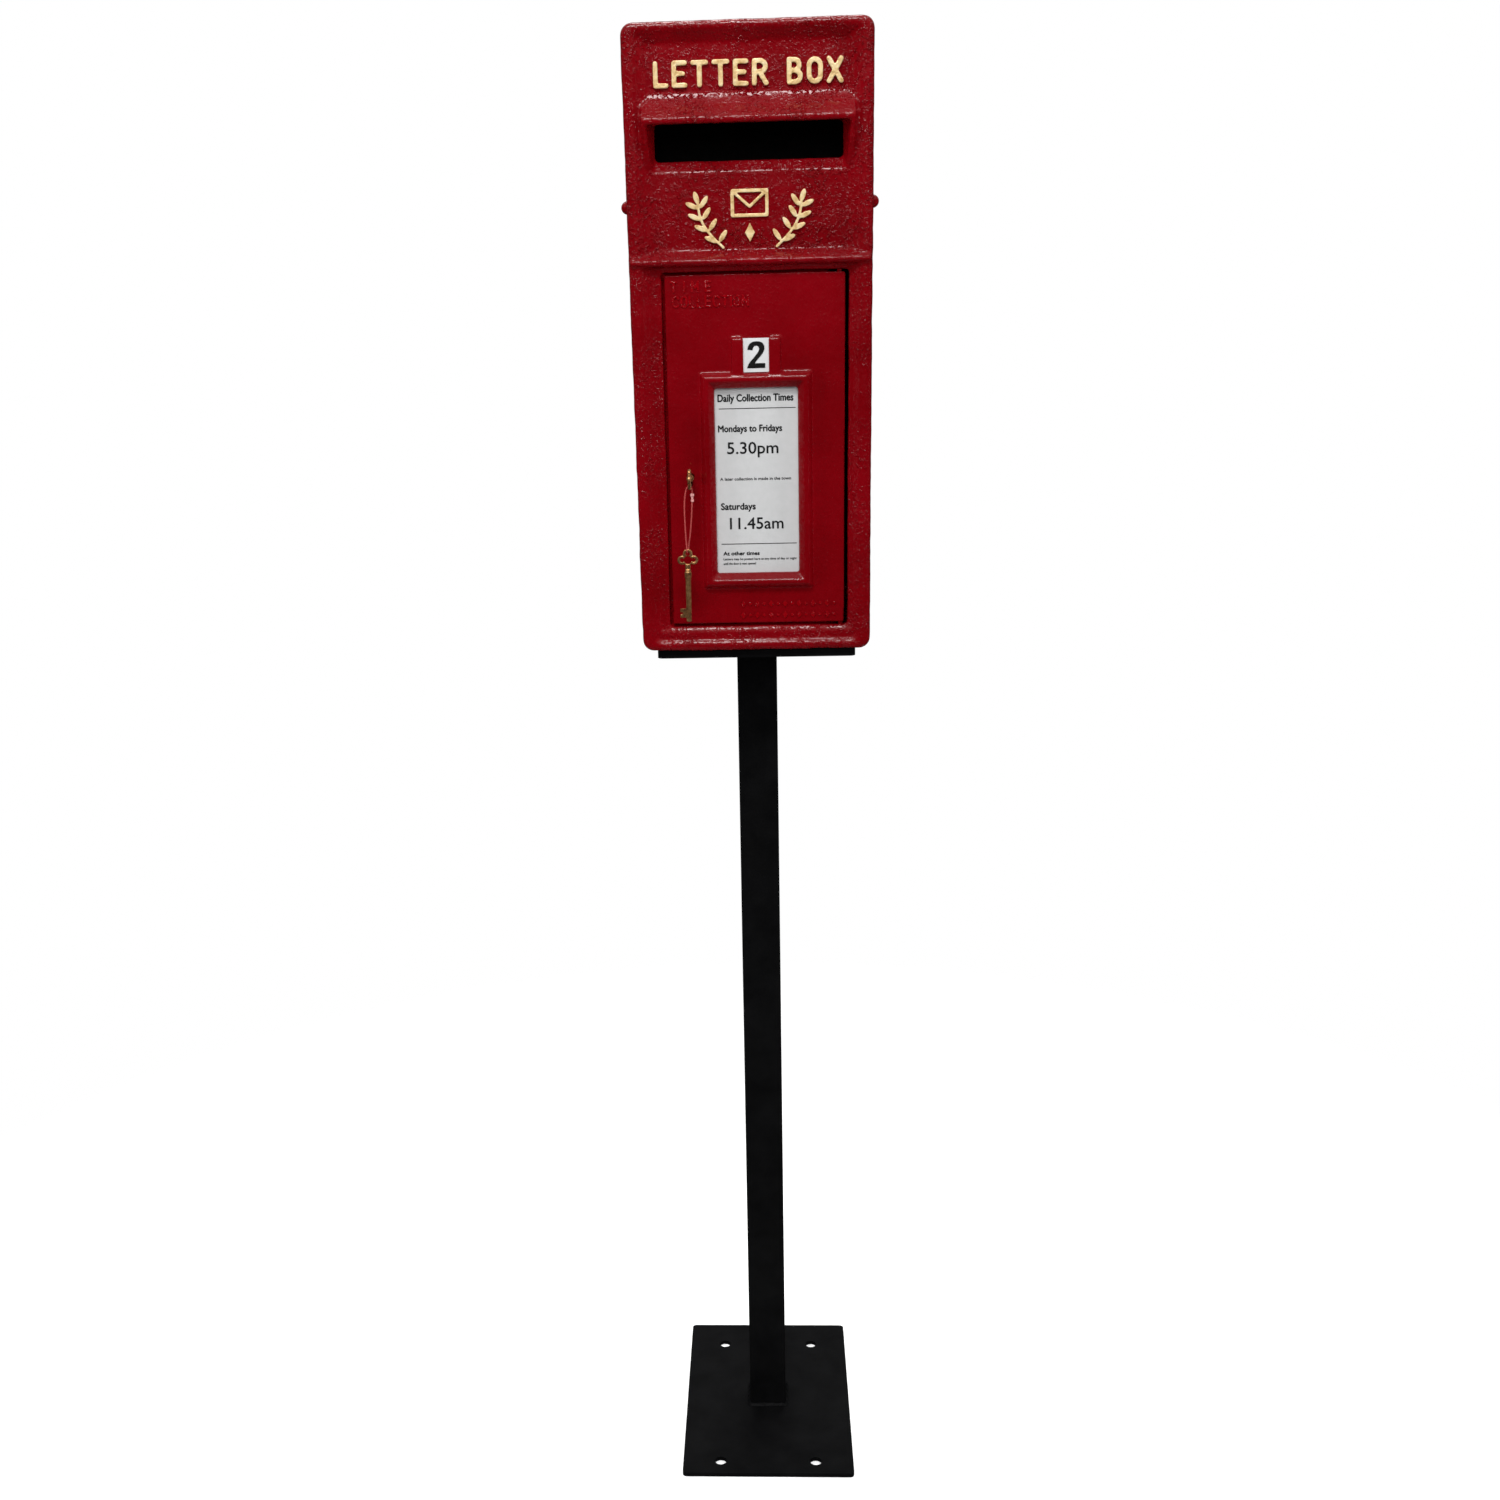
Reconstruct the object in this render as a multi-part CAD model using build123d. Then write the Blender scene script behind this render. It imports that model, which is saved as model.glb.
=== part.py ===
from build123d import *
import math
import os

# Cast-iron letter box on a square steel post stand.
# Millimetres. +Z up, front faces -Y, +X to the right as seen from the front.
# Origin: centre of the base plate's underside.

os.makedirs("parts", exist_ok=True)

# ---------------------------------------------------------------- stand
PLATE_W = 204.0
PLATE_D = 304.0
PLATE_T = 5.0
PLATE_CORNER_R = 5.0
BASE_HOLE_DX = 114.0
BASE_HOLE_DY = 238.0
BASE_HOLE_CY = -10.5
BASE_HOLE_R = 7.0
POST = 44.5
POST_WALL = 3.0
WELD_LEG = 3.6
TOP_PLATE_W = 212.0
TOP_PLATE_D = 204.0
TOP_PLATE_T = 9.0

# ---------------------------------------------------------------- box body
Z_BOT = 991.0
Z_TOP = 1618.5
HALF_W_BOT = 121.0
HALF_W_TOP = 125.0
Y_FRONT = -110.0
Y_BACK = 110.0
CORNER_R = 12.0
WALL = 8.0
Y_IN_FRONT = -92.0
PANEL_Y = -102.0
FRAME_Y = -106.0
BORDER_Y = -104.0
Z_LEDGE_TOP = 1400.0

# door opening and door
DOOR_Y = -104.0
DOOR_T = 7.0
DOOR_Z0 = 1019.5
DOOR_Z1 = 1378.0
DOOR_L = -88.0
DOOR_R_BOT = 93.5
DOOR_R_TOP = 96.0
GAP = 3.0
HINGE_X = 90.0
HINGE_Y = -99.0
PIN_R = 2.5
PIN_CLEAR = 0.05

LETTER_PEN = 4.7

# notice frame on the door
NOTICE_CX = 3.7
NOTICE_CZ = 1169.2
NOTICE_W = 115.0
NOTICE_H = 222.5
SIGHT_W = 86.0
SIGHT_H = 191.0

# number tablet
TAB_CX = 4.3
TAB_W = 29.0
TAB_H = 34.0
TAB_T = 2.0
TAB_Z0 = 1280.7
NUM_W = 18.6
NUM_H = 26.8

# lock and keys
KEY_X = -65.8
KEY_Z = 1175.0
KEY_BOW_Y = -133.0
SPARE_X = -69.5
SPARE_Z = 1092.2
STRING_D = 1.4

NODES = []


def half_w(z):
    return HALF_W_BOT + (z - Z_BOT) * (HALF_W_TOP - HALF_W_BOT) / (Z_TOP - Z_BOT)


def front(y):
    return Plane(origin=(0, y, 0), x_dir=(1, 0, 0), z_dir=(0, -1, 0))


def block(x0, x1, y0, y1, z0, z1):
    b = Box(x1 - x0, y1 - y0, z1 - z0)
    return Pos((x0 + x1) / 2, (y0 + y1) / 2, (z0 + z1) / 2) * b


def quad(y, pts, rad=0.0):
    face = front(y) * Polygon(*pts, align=None)
    if rad > 0:
        face = fillet(face.vertices(), rad)
    return face


def inset(y, z0, z1, left, right, rad=0.0):
    pts = [(-half_w(z0) + left, z0), (half_w(z0) - right, z0),
           (half_w(z1) - right, z1), (-half_w(z1) + left, z1)]
    return quad(y, pts, rad)


def rod_y(x, y0, y1, z, r):
    c = Cylinder(r, y1 - y0, rotation=(90, 0, 0))
    return Pos(x, (y0 + y1) / 2, z) * c


def rod_z(x, y, z0, z1, r):
    return Pos(x, y, (z0 + z1) / 2) * Cylinder(r, z1 - z0)


def rod_x(x0, x1, y, z, r):
    c = Cylinder(r, x1 - x0, rotation=(0, 90, 0))
    return Pos((x0 + x1) / 2, y, z) * c


def hexagon_z(x, y, z0, z1, across):
    face = Pos(x, y, z0) * RegularPolygon(across / 2, 6, major_radius=False)
    return extrude(face, z1 - z0, dir=(0, 0, 1))


def hexagon_x(x0, x1, y, z, across):
    face = Plane(origin=(x0, y, z), x_dir=(0, 1, 0), z_dir=(1, 0, 0)) * RegularPolygon(
        across / 2, 6, major_radius=False)
    return extrude(face, x1 - x0, dir=(1, 0, 0))


def save(shape, node):
    export_step(shape, "parts/" + node + ".step")
    NODES.append(node)
    print(node, round(shape.volume, 1))


# ---------------------------------------------------------------- stroke lettering
def stroke_face(pts, w):
    """A pen line of width w through pts, round ends, in the local XY plane."""
    out = None
    for i in range(len(pts)):
        x, y = pts[i]
        dot = Pos(x, y, 0) * Circle(w / 2)
        out = dot if out is None else out + dot
        if i + 1 < len(pts):
            x2, y2 = pts[i + 1]
            length = math.hypot(x2 - x, y2 - y)
            ang = math.degrees(math.atan2(y2 - y, x2 - x))
            bar = Pos((x + x2) / 2, (y + y2) / 2, 0) * Rot(0, 0, ang) * Rectangle(length, w)
            out = out + bar
    return out


def arc_pts(cx, cy, rx, ry, a0, a1, n):
    pts = []
    for i in range(n + 1):
        a = math.radians(a0 + (a1 - a0) * i / n)
        pts.append((cx + rx * math.cos(a), cy + ry * math.sin(a)))
    return pts


def glyph(ch):
    """Strokes of a capital letter in a cell 1 high; returns (width, strokes)."""
    if ch == "L":
        return 0.50, [[(0, 1), (0, 0), (0.50, 0)]]
    if ch == "E":
        return 0.52, [[(0.52, 1), (0, 1), (0, 0), (0.52, 0)], [(0, 0.52), (0.42, 0.52)]]
    if ch == "T":
        return 0.62, [[(0, 1), (0.62, 1)], [(0.31, 1), (0.31, 0)]]
    if ch == "R":
        bowl = [(0, 1), (0.26, 1)] + arc_pts(0.26, 0.75, 0.27, 0.25, 75, -75, 5) + [(0.26, 0.5), (0, 0.5)]
        return 0.55, [[(0, 0), (0, 1)], bowl, [(0.24, 0.5), (0.55, 0)]]
    if ch == "B":
        up = [(0, 1), (0.25, 1)] + arc_pts(0.25, 0.76, 0.24, 0.24, 75, -75, 5) + [(0.25, 0.52), (0, 0.52)]
        low = [(0.25, 0.52)] + arc_pts(0.27, 0.26, 0.27, 0.26, 75, -75, 5) + [(0.25, 0), (0, 0)]
        return 0.54, [[(0, 0), (0, 1)], up, low]
    if ch == "O":
        ring = [(0, 0.28), (0, 0.72)] + arc_pts(0.27, 0.72, 0.27, 0.28, 150, 30, 4)
        ring = ring + [(0.54, 0.72), (0.54, 0.28)] + arc_pts(0.27, 0.28, 0.27, 0.28, -30, -150, 4)
        return 0.54, [ring + [(0, 0.28)]]
    if ch == "X":
        return 0.58, [[(0, 1), (0.58, 0)], [(0.58, 1), (0, 0)]]
    if ch == "I":
        return 0.0, [[(0, 1), (0, 0)]]
    if ch == "M":
        return 0.66, [[(0, 0), (0, 1), (0.33, 0.35), (0.66, 1), (0.66, 0)]]
    if ch == "C":
        top = arc_pts(0.29, 0.70, 0.29, 0.30, 25, 180, 6)
        return 0.55, [top + arc_pts(0.29, 0.30, 0.29, 0.30, 180, 335, 6)]
    if ch == "N":
        return 0.56, [[(0, 0), (0, 1), (0.56, 0), (0.56, 1)]]
    return 0.3, []


def line_of_letters(word, x0, x1, z0, height, pen, y_face, depth, lift=0.0):
    """Raised letters spread evenly between x0 and x1, standing out of the plane y = y_face."""
    cell = height - pen
    widths = [glyph(c)[0] * cell for c in word]
    gap = (x1 - x0 - pen * len(word) - sum(widths)) / max(1, len(word) - 1)
    x = x0 + pen / 2
    out = []
    for c, w in zip(word, widths):
        up = lift * (x - x0) / (x1 - x0)
        face = None
        for pts in glyph(c)[1]:
            line = [(x + px * cell, z0 + pen / 2 + up + pz * cell) for px, pz in pts]
            f = stroke_face(line, pen)
            face = f if face is None else face + f
        out.append(extrude(front(y_face) * face, depth))
        x = x + w + pen + gap
    return out


# ---------------------------------------------------------------- stand parts
def make_base_plate():
    plate = Box(PLATE_W, PLATE_D, PLATE_T)
    plate = fillet(plate.edges().filter_by(Axis.Z), PLATE_CORNER_R)
    plate = Pos(0, 0, PLATE_T / 2) * plate
    for sx in (-1, 1):
        for sy in (-1, 1):
            plate = plate - rod_z(sx * BASE_HOLE_DX / 2, BASE_HOLE_CY + sy * BASE_HOLE_DY / 2,
                                  -1, PLATE_T + 1, BASE_HOLE_R)
    return plate


def make_post():
    z0 = PLATE_T
    z1 = Z_BOT - TOP_PLATE_T
    tube = Box(POST, POST, z1 - z0)
    tube = fillet(tube.edges().filter_by(Axis.Z), 2.5)
    bore = Box(POST - 2 * POST_WALL, POST - 2 * POST_WALL, z1 - z0 + 2)
    return Pos(0, 0, (z0 + z1) / 2) * (tube - bore)


def make_weld(z, up):
    """Fillet weld round the post, leg WELD_LEG, against a plate at height z."""
    outer = POST / 2 + WELD_LEG
    inner = POST / 2 + 0.6
    base = Pos(0, 0, z) * RectangleRounded(2 * outer, 2 * outer, 6)
    tip = Pos(0, 0, z + up * WELD_LEG) * RectangleRounded(2 * inner, 2 * inner, 3)
    ring = loft([base.face(), tip.face()], ruled=True)
    core = Box(POST, POST, 4 * WELD_LEG)
    core = fillet(core.edges().filter_by(Axis.Z), 2.5)
    return ring - Pos(0, 0, z) * core


def make_top_plate():
    plate = Box(TOP_PLATE_W, TOP_PLATE_D, TOP_PLATE_T)
    plate = fillet(plate.edges().filter_by(Axis.Z), 6)
    plate = Pos(0, 0, Z_BOT - TOP_PLATE_T / 2) * plate
    for x, y in MOUNT_XY:
        plate = plate - rod_z(x, y, Z_BOT - TOP_PLATE_T - 1, Z_BOT + 1, 4.1)
    return plate


MOUNT_XY = [(-75, -65), (75, -65), (-75, 65), (75, 65)]
HEAD_H = 5.3
WASHER_T = 1.6


def make_mount_bolts():
    """Hexagon bolts from inside the box, screwed into the stand's top plate."""
    seat = Z_BOT + WALL + WASHER_T
    out = []
    for x, y in MOUNT_XY:
        head = hexagon_z(x, y, seat, seat + HEAD_H, 13)
        out.append(head + rod_z(x, y, Z_BOT - TOP_PLATE_T + 0.5, seat + 0.5, 4.0))
    return Compound(out)


def make_mount_washers():
    z0 = Z_BOT + WALL
    out = []
    for x, y in MOUNT_XY:
        out.append(rod_z(x, y, z0, z0 + WASHER_T, 8) - rod_z(x, y, z0 - 1, z0 + 3, 4.3))
    return Compound(out)


# ---------------------------------------------------------------- body casting
BOLT_Z = 1446.0
BOLT_Y = -85.0
BOSS_Z = [1020.0, 1305.0, 1590.0]
BOSS = 16.0


def side_profile(pts, x0, x1):
    face = Plane(origin=(x0, 0, 0), x_dir=(0, 1, 0), z_dir=(1, 0, 0)) * Polygon(*pts, align=None)
    return extrude(face, x1 - x0, dir=(1, 0, 0))


def make_body():
    body = extrude(inset(Y_BACK, Z_BOT, Z_TOP, 0, 0, CORNER_R), Y_BACK - Y_FRONT)
    body = fillet(body.edges().group_by(Axis.Y)[0], 6.5)
    # rim: bead outside, long slope inside
    cut = loft([inset(-113, 996, Z_TOP - 2.2, 8.25, 8.25, 9).face(),
                inset(FRAME_Y, 1003, Z_TOP - 13.5, 17, 17, 5).face()], ruled=True)
    body = body - cut
    # upper panel
    cut = loft([inset(FRAME_Y - 0.5, Z_LEDGE_TOP - 4, Z_TOP - 12.7, 18.4, 18.4, 4).face(),
                inset(PANEL_Y, Z_LEDGE_TOP - 4, Z_TOP - 20, 24, 24, 3).face()], ruled=True)
    body = body - cut
    # lower border step
    cut = loft([inset(FRAME_Y - 0.5, 1011.5, 1391, 18.2, 17.2, 2).face(),
                inset(BORDER_Y, 1013, 1391, 19.5, 18.5, 1).face()], ruled=True)
    body = body - cut
    # ledge across the front
    ledge = side_profile([(-96, 1401), (-102.5, 1401), (-114, 1392.5), (-115, 1390.5), (-114, 1388),
                          (-111, 1386.5), (-96, 1386.5)], -121.5, 121.5)
    body = body + ledge
    # hood with cheeks
    hood = side_profile([(-96, 1552), (-102, 1552), (-104.5, 1546), (-109, 1540), (-120, 1529.5),
                         (-122.5, 1526.5), (-122.5, 1524.5), (-103, 1478), (-102, 1476), (-96, 1476)],
                        -106.5, 106.5)
    hood = hood.intersect(extrude(quad(-90, [(-102.8, 1470), (102.8, 1470), (106.5, 1530),
                                             (103.5, 1556), (-103.5, 1556), (-106.5, 1530)]), 40))
    body = body + hood
    # mail cavity
    cavity = extrude(inset(Y_BACK + 5, Z_BOT + WALL, Z_TOP - WALL, WALL, WALL, 6),
                     Y_BACK + 5 - Y_IN_FRONT)
    body = body - cavity
    # letter mouth and slot
    mouth = loft([quad(-125, [(-102.8, 1462), (102.8, 1462), (102.8, 1521), (-102.8, 1521)]).face(),
                  quad(-101.5, [(-97, 1477.5), (97, 1477.5), (97, 1523), (-97, 1523)]).face()],
                 ruled=True)
    slot = loft([quad(-102.5, [(-97, 1476.5), (97, 1476.5), (97, 1523), (-97, 1523)]).face(),
                 quad(-90, [(-93, 1493), (93, 1493), (93, 1524), (-93, 1524)]).face()], ruled=True)
    body = body - mouth - slot
    # door opening with a stop lip behind it
    hole = quad(-90, [(DOOR_L - GAP, DOOR_Z0 - GAP), (DOOR_R_BOT + 3.5, DOOR_Z0 - GAP),
                      (DOOR_R_TOP + 3.5, DOOR_Z1 + GAP), (DOOR_L - GAP, DOOR_Z1 + GAP)])
    opening = extrude(hole, 20)
    lip = block(-95, 80, -96, Y_IN_FRONT, DOOR_Z0 - 6, DOOR_Z1 + 6)
    lip = lip - block(DOOR_L + 4, 90, -97, -90, DOOR_Z0 + 4, DOOR_Z1 - 4)
    body = body - (opening - lip)
    # hinge pin holes
    body = body - rod_z(HINGE_X, HINGE_Y, DOOR_Z0 - GAP - 10, DOOR_Z0, PIN_R)
    body = body - rod_z(HINGE_X, HINGE_Y, DOOR_Z1, DOOR_Z1 + GAP + 10, PIN_R)
    # back rebate and screw bosses
    body = body - extrude(inset(Y_BACK + 5, Z_BOT + 4, Z_TOP - 4, 4, 4, 8), 8.0)
    for z in BOSS_Z:
        for s in (-1, 1):
            w = half_w(z)
            x_out = s * (w - WALL + 0.5)
            x_in = s * (w - WALL - BOSS)
            x0, x1 = min(x_out, x_in), max(x_out, x_in)
            body = body + block(x0, x1, 85, 107, z - BOSS / 2, z + BOSS / 2)
            body = body - rod_y(s * (w - WALL - BOSS / 2), 91, 112, z, 2.1)
    # holes for the stand bolts and the side bolts
    for x, y in MOUNT_XY:
        body = body - rod_z(x, y, Z_BOT - 1, Z_BOT + WALL + 1, 4.5)
    body = body - rod_x(-130, 130, BOLT_Y, BOLT_Z, 3.4)
    return body


def make_back_plate():
    plate = extrude(inset(Y_BACK, Z_BOT + 4.5, Z_TOP - 4.5, 4.5, 4.5, 7.5), 3.0)
    for z in BOSS_Z:
        for s in (-1, 1):
            plate = plate - rod_y(s * (half_w(z) - WALL - BOSS / 2), 100, 112, z, 2.6)
    return plate


def make_back_screws():
    out = []
    for z in BOSS_Z:
        for s in (-1, 1):
            x = s * (half_w(z) - WALL - BOSS / 2)
            head = rod_y(x, Y_BACK, Y_BACK + 3, z, 4.6)
            head = fillet(head.edges().group_by(Axis.Y)[-1], 1.6)
            screw = head + rod_y(x, 93, Y_BACK + 0.5, z, 2.0)
            slot = block(x - 6, x + 6, Y_BACK + 2, Y_BACK + 4, z - 0.6, z + 0.6)
            out.append(screw - slot)
    return Compound(out)


def make_side_bolts():
    out = []
    for s in (-1, 1):
        w = half_w(BOLT_Z) + 0.1
        dome = Pos(s * w, BOLT_Y, BOLT_Z) * Sphere(6.6)
        keep = block(-140, -w, -100, -60, 1430, 1460) if s < 0 else block(w, 140, -100, -60, 1430, 1460)
        dome = dome & keep
        x0, x1 = (w - WALL - 12, w + 0.6)
        if s < 0:
            x0, x1 = -x1, -x0
        out.append(dome + rod_x(x0, x1, BOLT_Y, BOLT_Z, 3.0))
    return Compound(out)


def make_side_nuts():
    out = []
    for s in (-1, 1):
        a = half_w(BOLT_Z) - WALL - 2.6
        x0, x1 = (a - 5, a)
        if s < 0:
            x0, x1 = -a, -a + 5
        out.append(hexagon_x(x0, x1, BOLT_Y, BOLT_Z, 10) - rod_x(x0 - 1, x1 + 1, BOLT_Y, BOLT_Z, 3.1))
    return Compound(out)


def make_letter_guard():
    """Bent sheet behind the slot, hung from the two side bolts."""
    w = half_w(1432) - WALL - 0.3
    guard = block(-w, w, -60, -58, 1432, 1560)
    for s in (-1, 1):
        x0, x1 = (w - 2, w) if s > 0 else (-w, -w + 2)
        guard = guard + block(x0, x1, -91, -58, 1432, 1472)
    return guard - rod_x(-130, 130, BOLT_Y, BOLT_Z, 3.3)


def make_top_letters():
    a = line_of_letters("LETTER", -93.5, 20.5, 1556.5, 25.5, LETTER_PEN, PANEL_Y, 3.2)
    b = line_of_letters("BOX", 38.5, 94.5, 1556.5, 25.5, LETTER_PEN, PANEL_Y, 3.2)
    return Compound(a + b)


def leaf(cx, cz, length, width, ang):
    face = Ellipse(length / 2, width / 2)
    return Pos(cx, cz, 0) * Rot(0, 0, ang) * face


def sprig(side):
    """One laurel sprig: a curved stem with pairs of leaves, in the XZ plane."""
    pts = []
    for i in range(9):
        t = i / 8
        x = side * (27 + 25 * t + 7 * math.sin(math.pi * t))
        z = 1404.0 + 44 * t
        pts.append((x, z))
    out = stroke_face(pts, 2.4)
    for i in (1, 3, 5, 7):
        x, z = pts[i]
        out = out + leaf(x - side * 5.6, z + 6.0, 13.5, 5.0, 90 + side * 34)
        out = out + leaf(x + side * 6.6, z + 2.6, 13.5, 5.0, 90 - side * 66)
    out = out + leaf(pts[8][0] + side * 1.5, pts[8][1] + 4.6, 12.5, 5.2, 90 - side * 18)
    return out


def make_emblem():
    """Gold relief: an envelope between two laurel sprigs, a lozenge below."""
    w, h, pen = 38.0, 27.0, 3.4
    x0, x1 = -w / 2 + pen / 2, w / 2 - pen / 2
    z0, z1 = 1433 + pen / 2, 1433 + h - pen / 2
    env = stroke_face([(x0, z0), (x1, z0), (x1, z1), (x0, z1), (x0, z0)], pen)
    env = env + stroke_face([(x0, z1), (0, z0 + 8.5), (x1, z1)], pen * 0.85)
    loz = Polygon((0, 1427), (-5, 1418), (0, 1409), (5, 1418), align=None)
    out = []
    for face in (env, sprig(-1), sprig(1), loz):
        out.append(extrude(front(PANEL_Y) * face, 2.6))
    return Compound(out)


# ---------------------------------------------------------------- door
def make_hinge_pins():
    low = rod_z(HINGE_X, HINGE_Y, DOOR_Z0 - GAP - 9.5, DOOR_Z0 + 9, PIN_R)
    top = rod_z(HINGE_X, HINGE_Y, DOOR_Z1 - 9, DOOR_Z1 + GAP + 9.5, PIN_R)
    return Compound([low, top])


def centred(y, cx, cz, w, h):
    return quad(y, [(cx - w / 2, cz - h / 2), (cx + w / 2, cz - h / 2),
                    (cx + w / 2, cz + h / 2), (cx - w / 2, cz + h / 2)])


def make_door():
    outline = [(DOOR_L, DOOR_Z0), (DOOR_R_BOT, DOOR_Z0), (DOOR_R_TOP, DOOR_Z1), (DOOR_L, DOOR_Z1)]
    door = extrude(quad(DOOR_Y + DOOR_T, outline, 1.5), DOOR_T)
    stile = extrude(quad(DOOR_Y + 10, [(83.5, DOOR_Z0), (DOOR_R_BOT, DOOR_Z0), (DOOR_R_TOP, DOOR_Z1),
                                       (83.5, DOOR_Z1)], 1.5), 5)
    door = door + stile
    # mitred moulding round the notice
    moulding = loft([centred(DOOR_Y + 0.5, NOTICE_CX, NOTICE_CZ, NOTICE_W, NOTICE_H).face(),
                     centred(-107.5, NOTICE_CX, NOTICE_CZ, NOTICE_W - 2, NOTICE_H - 2).face()], ruled=True)
    moulding = moulding + loft([
        centred(-107.5, NOTICE_CX, NOTICE_CZ, NOTICE_W - 2, NOTICE_H - 2).face(),
        centred(-111.5, NOTICE_CX, NOTICE_CZ, NOTICE_W - 9, NOTICE_H - 9).face()], ruled=True)
    # tablet rails
    rails = side_profile([(-103, 1275), (-110, 1275), (-110, 1313.5), (-108.5, 1315.5), (-103, 1315.5)],
                         TAB_CX - 25, TAB_CX + 25)
    rails = rails - block(TAB_CX - 13, TAB_CX + 13, -120, -104, 1275, 1320)
    groove = block(TAB_CX - TAB_W / 2 - 0.4, TAB_CX + TAB_W / 2 + 0.4, -106.5, DOOR_Y, 1279, 1320)
    rails = rails - groove
    door = door + moulding + rails
    door = door - block(TAB_CX - 13, TAB_CX + 13, -120, -104, TAB_Z0 - 0.2, 1320)
    door = door - block(TAB_CX - TAB_W / 2 - 0.4, TAB_CX + TAB_W / 2 + 0.4, -106.5, DOOR_Y,
                        TAB_Z0 - 0.2, 1320)
    # sight opening, sloping in from the ridge of the moulding
    sight = loft([centred(-112.5, NOTICE_CX, NOTICE_CZ, SIGHT_W + 15, SIGHT_H + 17).face(),
                  centred(-104.5, NOTICE_CX, NOTICE_CZ, SIGHT_W, SIGHT_H).face()], ruled=True)
    door = door - sight
    door = door - extrude(centred(-96, NOTICE_CX, NOTICE_CZ, SIGHT_W, SIGHT_H), 12)
    door = door - extrude(centred(-96, NOTICE_CX, NOTICE_CZ, SIGHT_W + 11, SIGHT_H + 11), 4.0)
    # keyhole
    door = door - rod_y(KEY_X, -115, -90, KEY_Z, 3.8)
    door = door - block(KEY_X - 2.1, KEY_X + 2.1, -115, -90, KEY_Z - 10, KEY_Z)
    # hinge bores
    door = door - rod_z(HINGE_X, HINGE_Y, DOOR_Z0 - 1, DOOR_Z0 + 10, PIN_R + PIN_CLEAR)
    door = door - rod_z(HINGE_X, HINGE_Y, DOOR_Z1 - 10, DOOR_Z1 + 1, PIN_R + PIN_CLEAR)
    # blind holes for the lock and retainer screws
    for x, z in LOCK_SCREWS + RETAINER_SCREWS:
        door = door - rod_y(x, DOOR_Y + 2, DOOR_Y + DOOR_T + 1, z, 1.7)
    return door


LOCK_X0 = -78.0
LOCK_X1 = -48.5
LOCK_Z0 = 1145.0
LOCK_Z1 = 1205.0
LOCK_BACK = -64.0
LOCK_SCREWS = [(-71.5, 1211.0), (-55.0, 1211.0), (-71.5, 1139.0), (-55.0, 1139.0)]
RETAINER_SCREWS = [(NOTICE_CX + sx * 40, NOTICE_CZ + sz * 106.0) for sx in (-1, 1) for sz in (-1, 1)]


def make_door_lettering():
    """Low relief on the door: two short lines top left, two rows of beads bottom right."""
    out = line_of_letters("TIME", -82.5, -40, 1361, 11.5, 2.2, DOOR_Y, 0.9)
    out = out + line_of_letters("COLLECTION", -80.5, -2, 1346, 12.0, 2.2, DOOR_Y, 0.9)
    for row in range(2):
        for i in range(14):
            x = -13 + 7.4 * i
            z = 1040 - 12 * row
            if i % 2 == 0:
                face = Polygon((x - 2.8, z), (x, z - 4), (x + 2.8, z), (x, z + 4), align=None)
            else:
                face = Pos(x, z, 0) * Circle(1.7)
            if x < 88:
                out.append(extrude(front(DOOR_Y) * face, 0.9))
    return Compound(out)


def make_card():
    return extrude(centred(-99.4, NOTICE_CX, NOTICE_CZ, SIGHT_W + 10, SIGHT_H + 10), 0.6)


def make_retainer():
    plate = extrude(centred(-95, NOTICE_CX, NOTICE_CZ, SIGHT_W + 14, SIGHT_H + 34), 2)
    plate = plate + extrude(centred(-96.5, NOTICE_CX, NOTICE_CZ, SIGHT_W + 10, SIGHT_H + 10), 2.9)
    for x, z in RETAINER_SCREWS:
        plate = plate - rod_y(x, -98, -94, z, 2.0)
    return plate


def small_screws(places, y_head, y_tip):
    out = []
    for x, z in places:
        head = rod_y(x, y_head, y_head + 1.8, z, 3.0)
        head = fillet(head.edges().group_by(Axis.Y)[-1], 0.9)
        screw = head + rod_y(x, y_tip, y_head + 0.5, z, 1.6)
        out.append(screw - block(x - 4, x + 4, y_head + 1.2, y_head + 3, z - 0.45, z + 0.45))
    return Compound(out)


def make_lock_case():
    y0 = DOOR_Y + DOOR_T
    case = block(LOCK_X0, LOCK_X1, y0, LOCK_BACK, LOCK_Z0, LOCK_Z1)
    case = case - block(LOCK_X0 + 2, LOCK_X1 - 2, y0 - 1, LOCK_BACK - 2, LOCK_Z0 + 2, LOCK_Z1 - 2)
    case = case + block(LOCK_X0, LOCK_X1, y0, y0 + 2, LOCK_Z1 - 0.5, LOCK_Z1 + 12)
    case = case + block(LOCK_X0, LOCK_X1, y0, y0 + 2, LOCK_Z0 - 12, LOCK_Z0 + 0.5)
    case = case - block(LOCK_X0 - 1, LOCK_X0 + 3, -91.8, -82.7, 1180.7, 1195.3)
    for x, z in LOCK_SCREWS:
        case = case - rod_y(x, y0 - 1, y0 + 3, z, 1.9)
    # pin that carries the hollow key
    return case + rod_y(KEY_X, -84.0, LOCK_BACK - 1, KEY_Z, 1.2)


def make_lock_bolt():
    bolt = block(-78.6, -53.0, -91.5, -83.0, 1181.0, 1195.0)
    return chamfer(bolt.edges().group_by(Axis.X)[0], 0.8)


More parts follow.
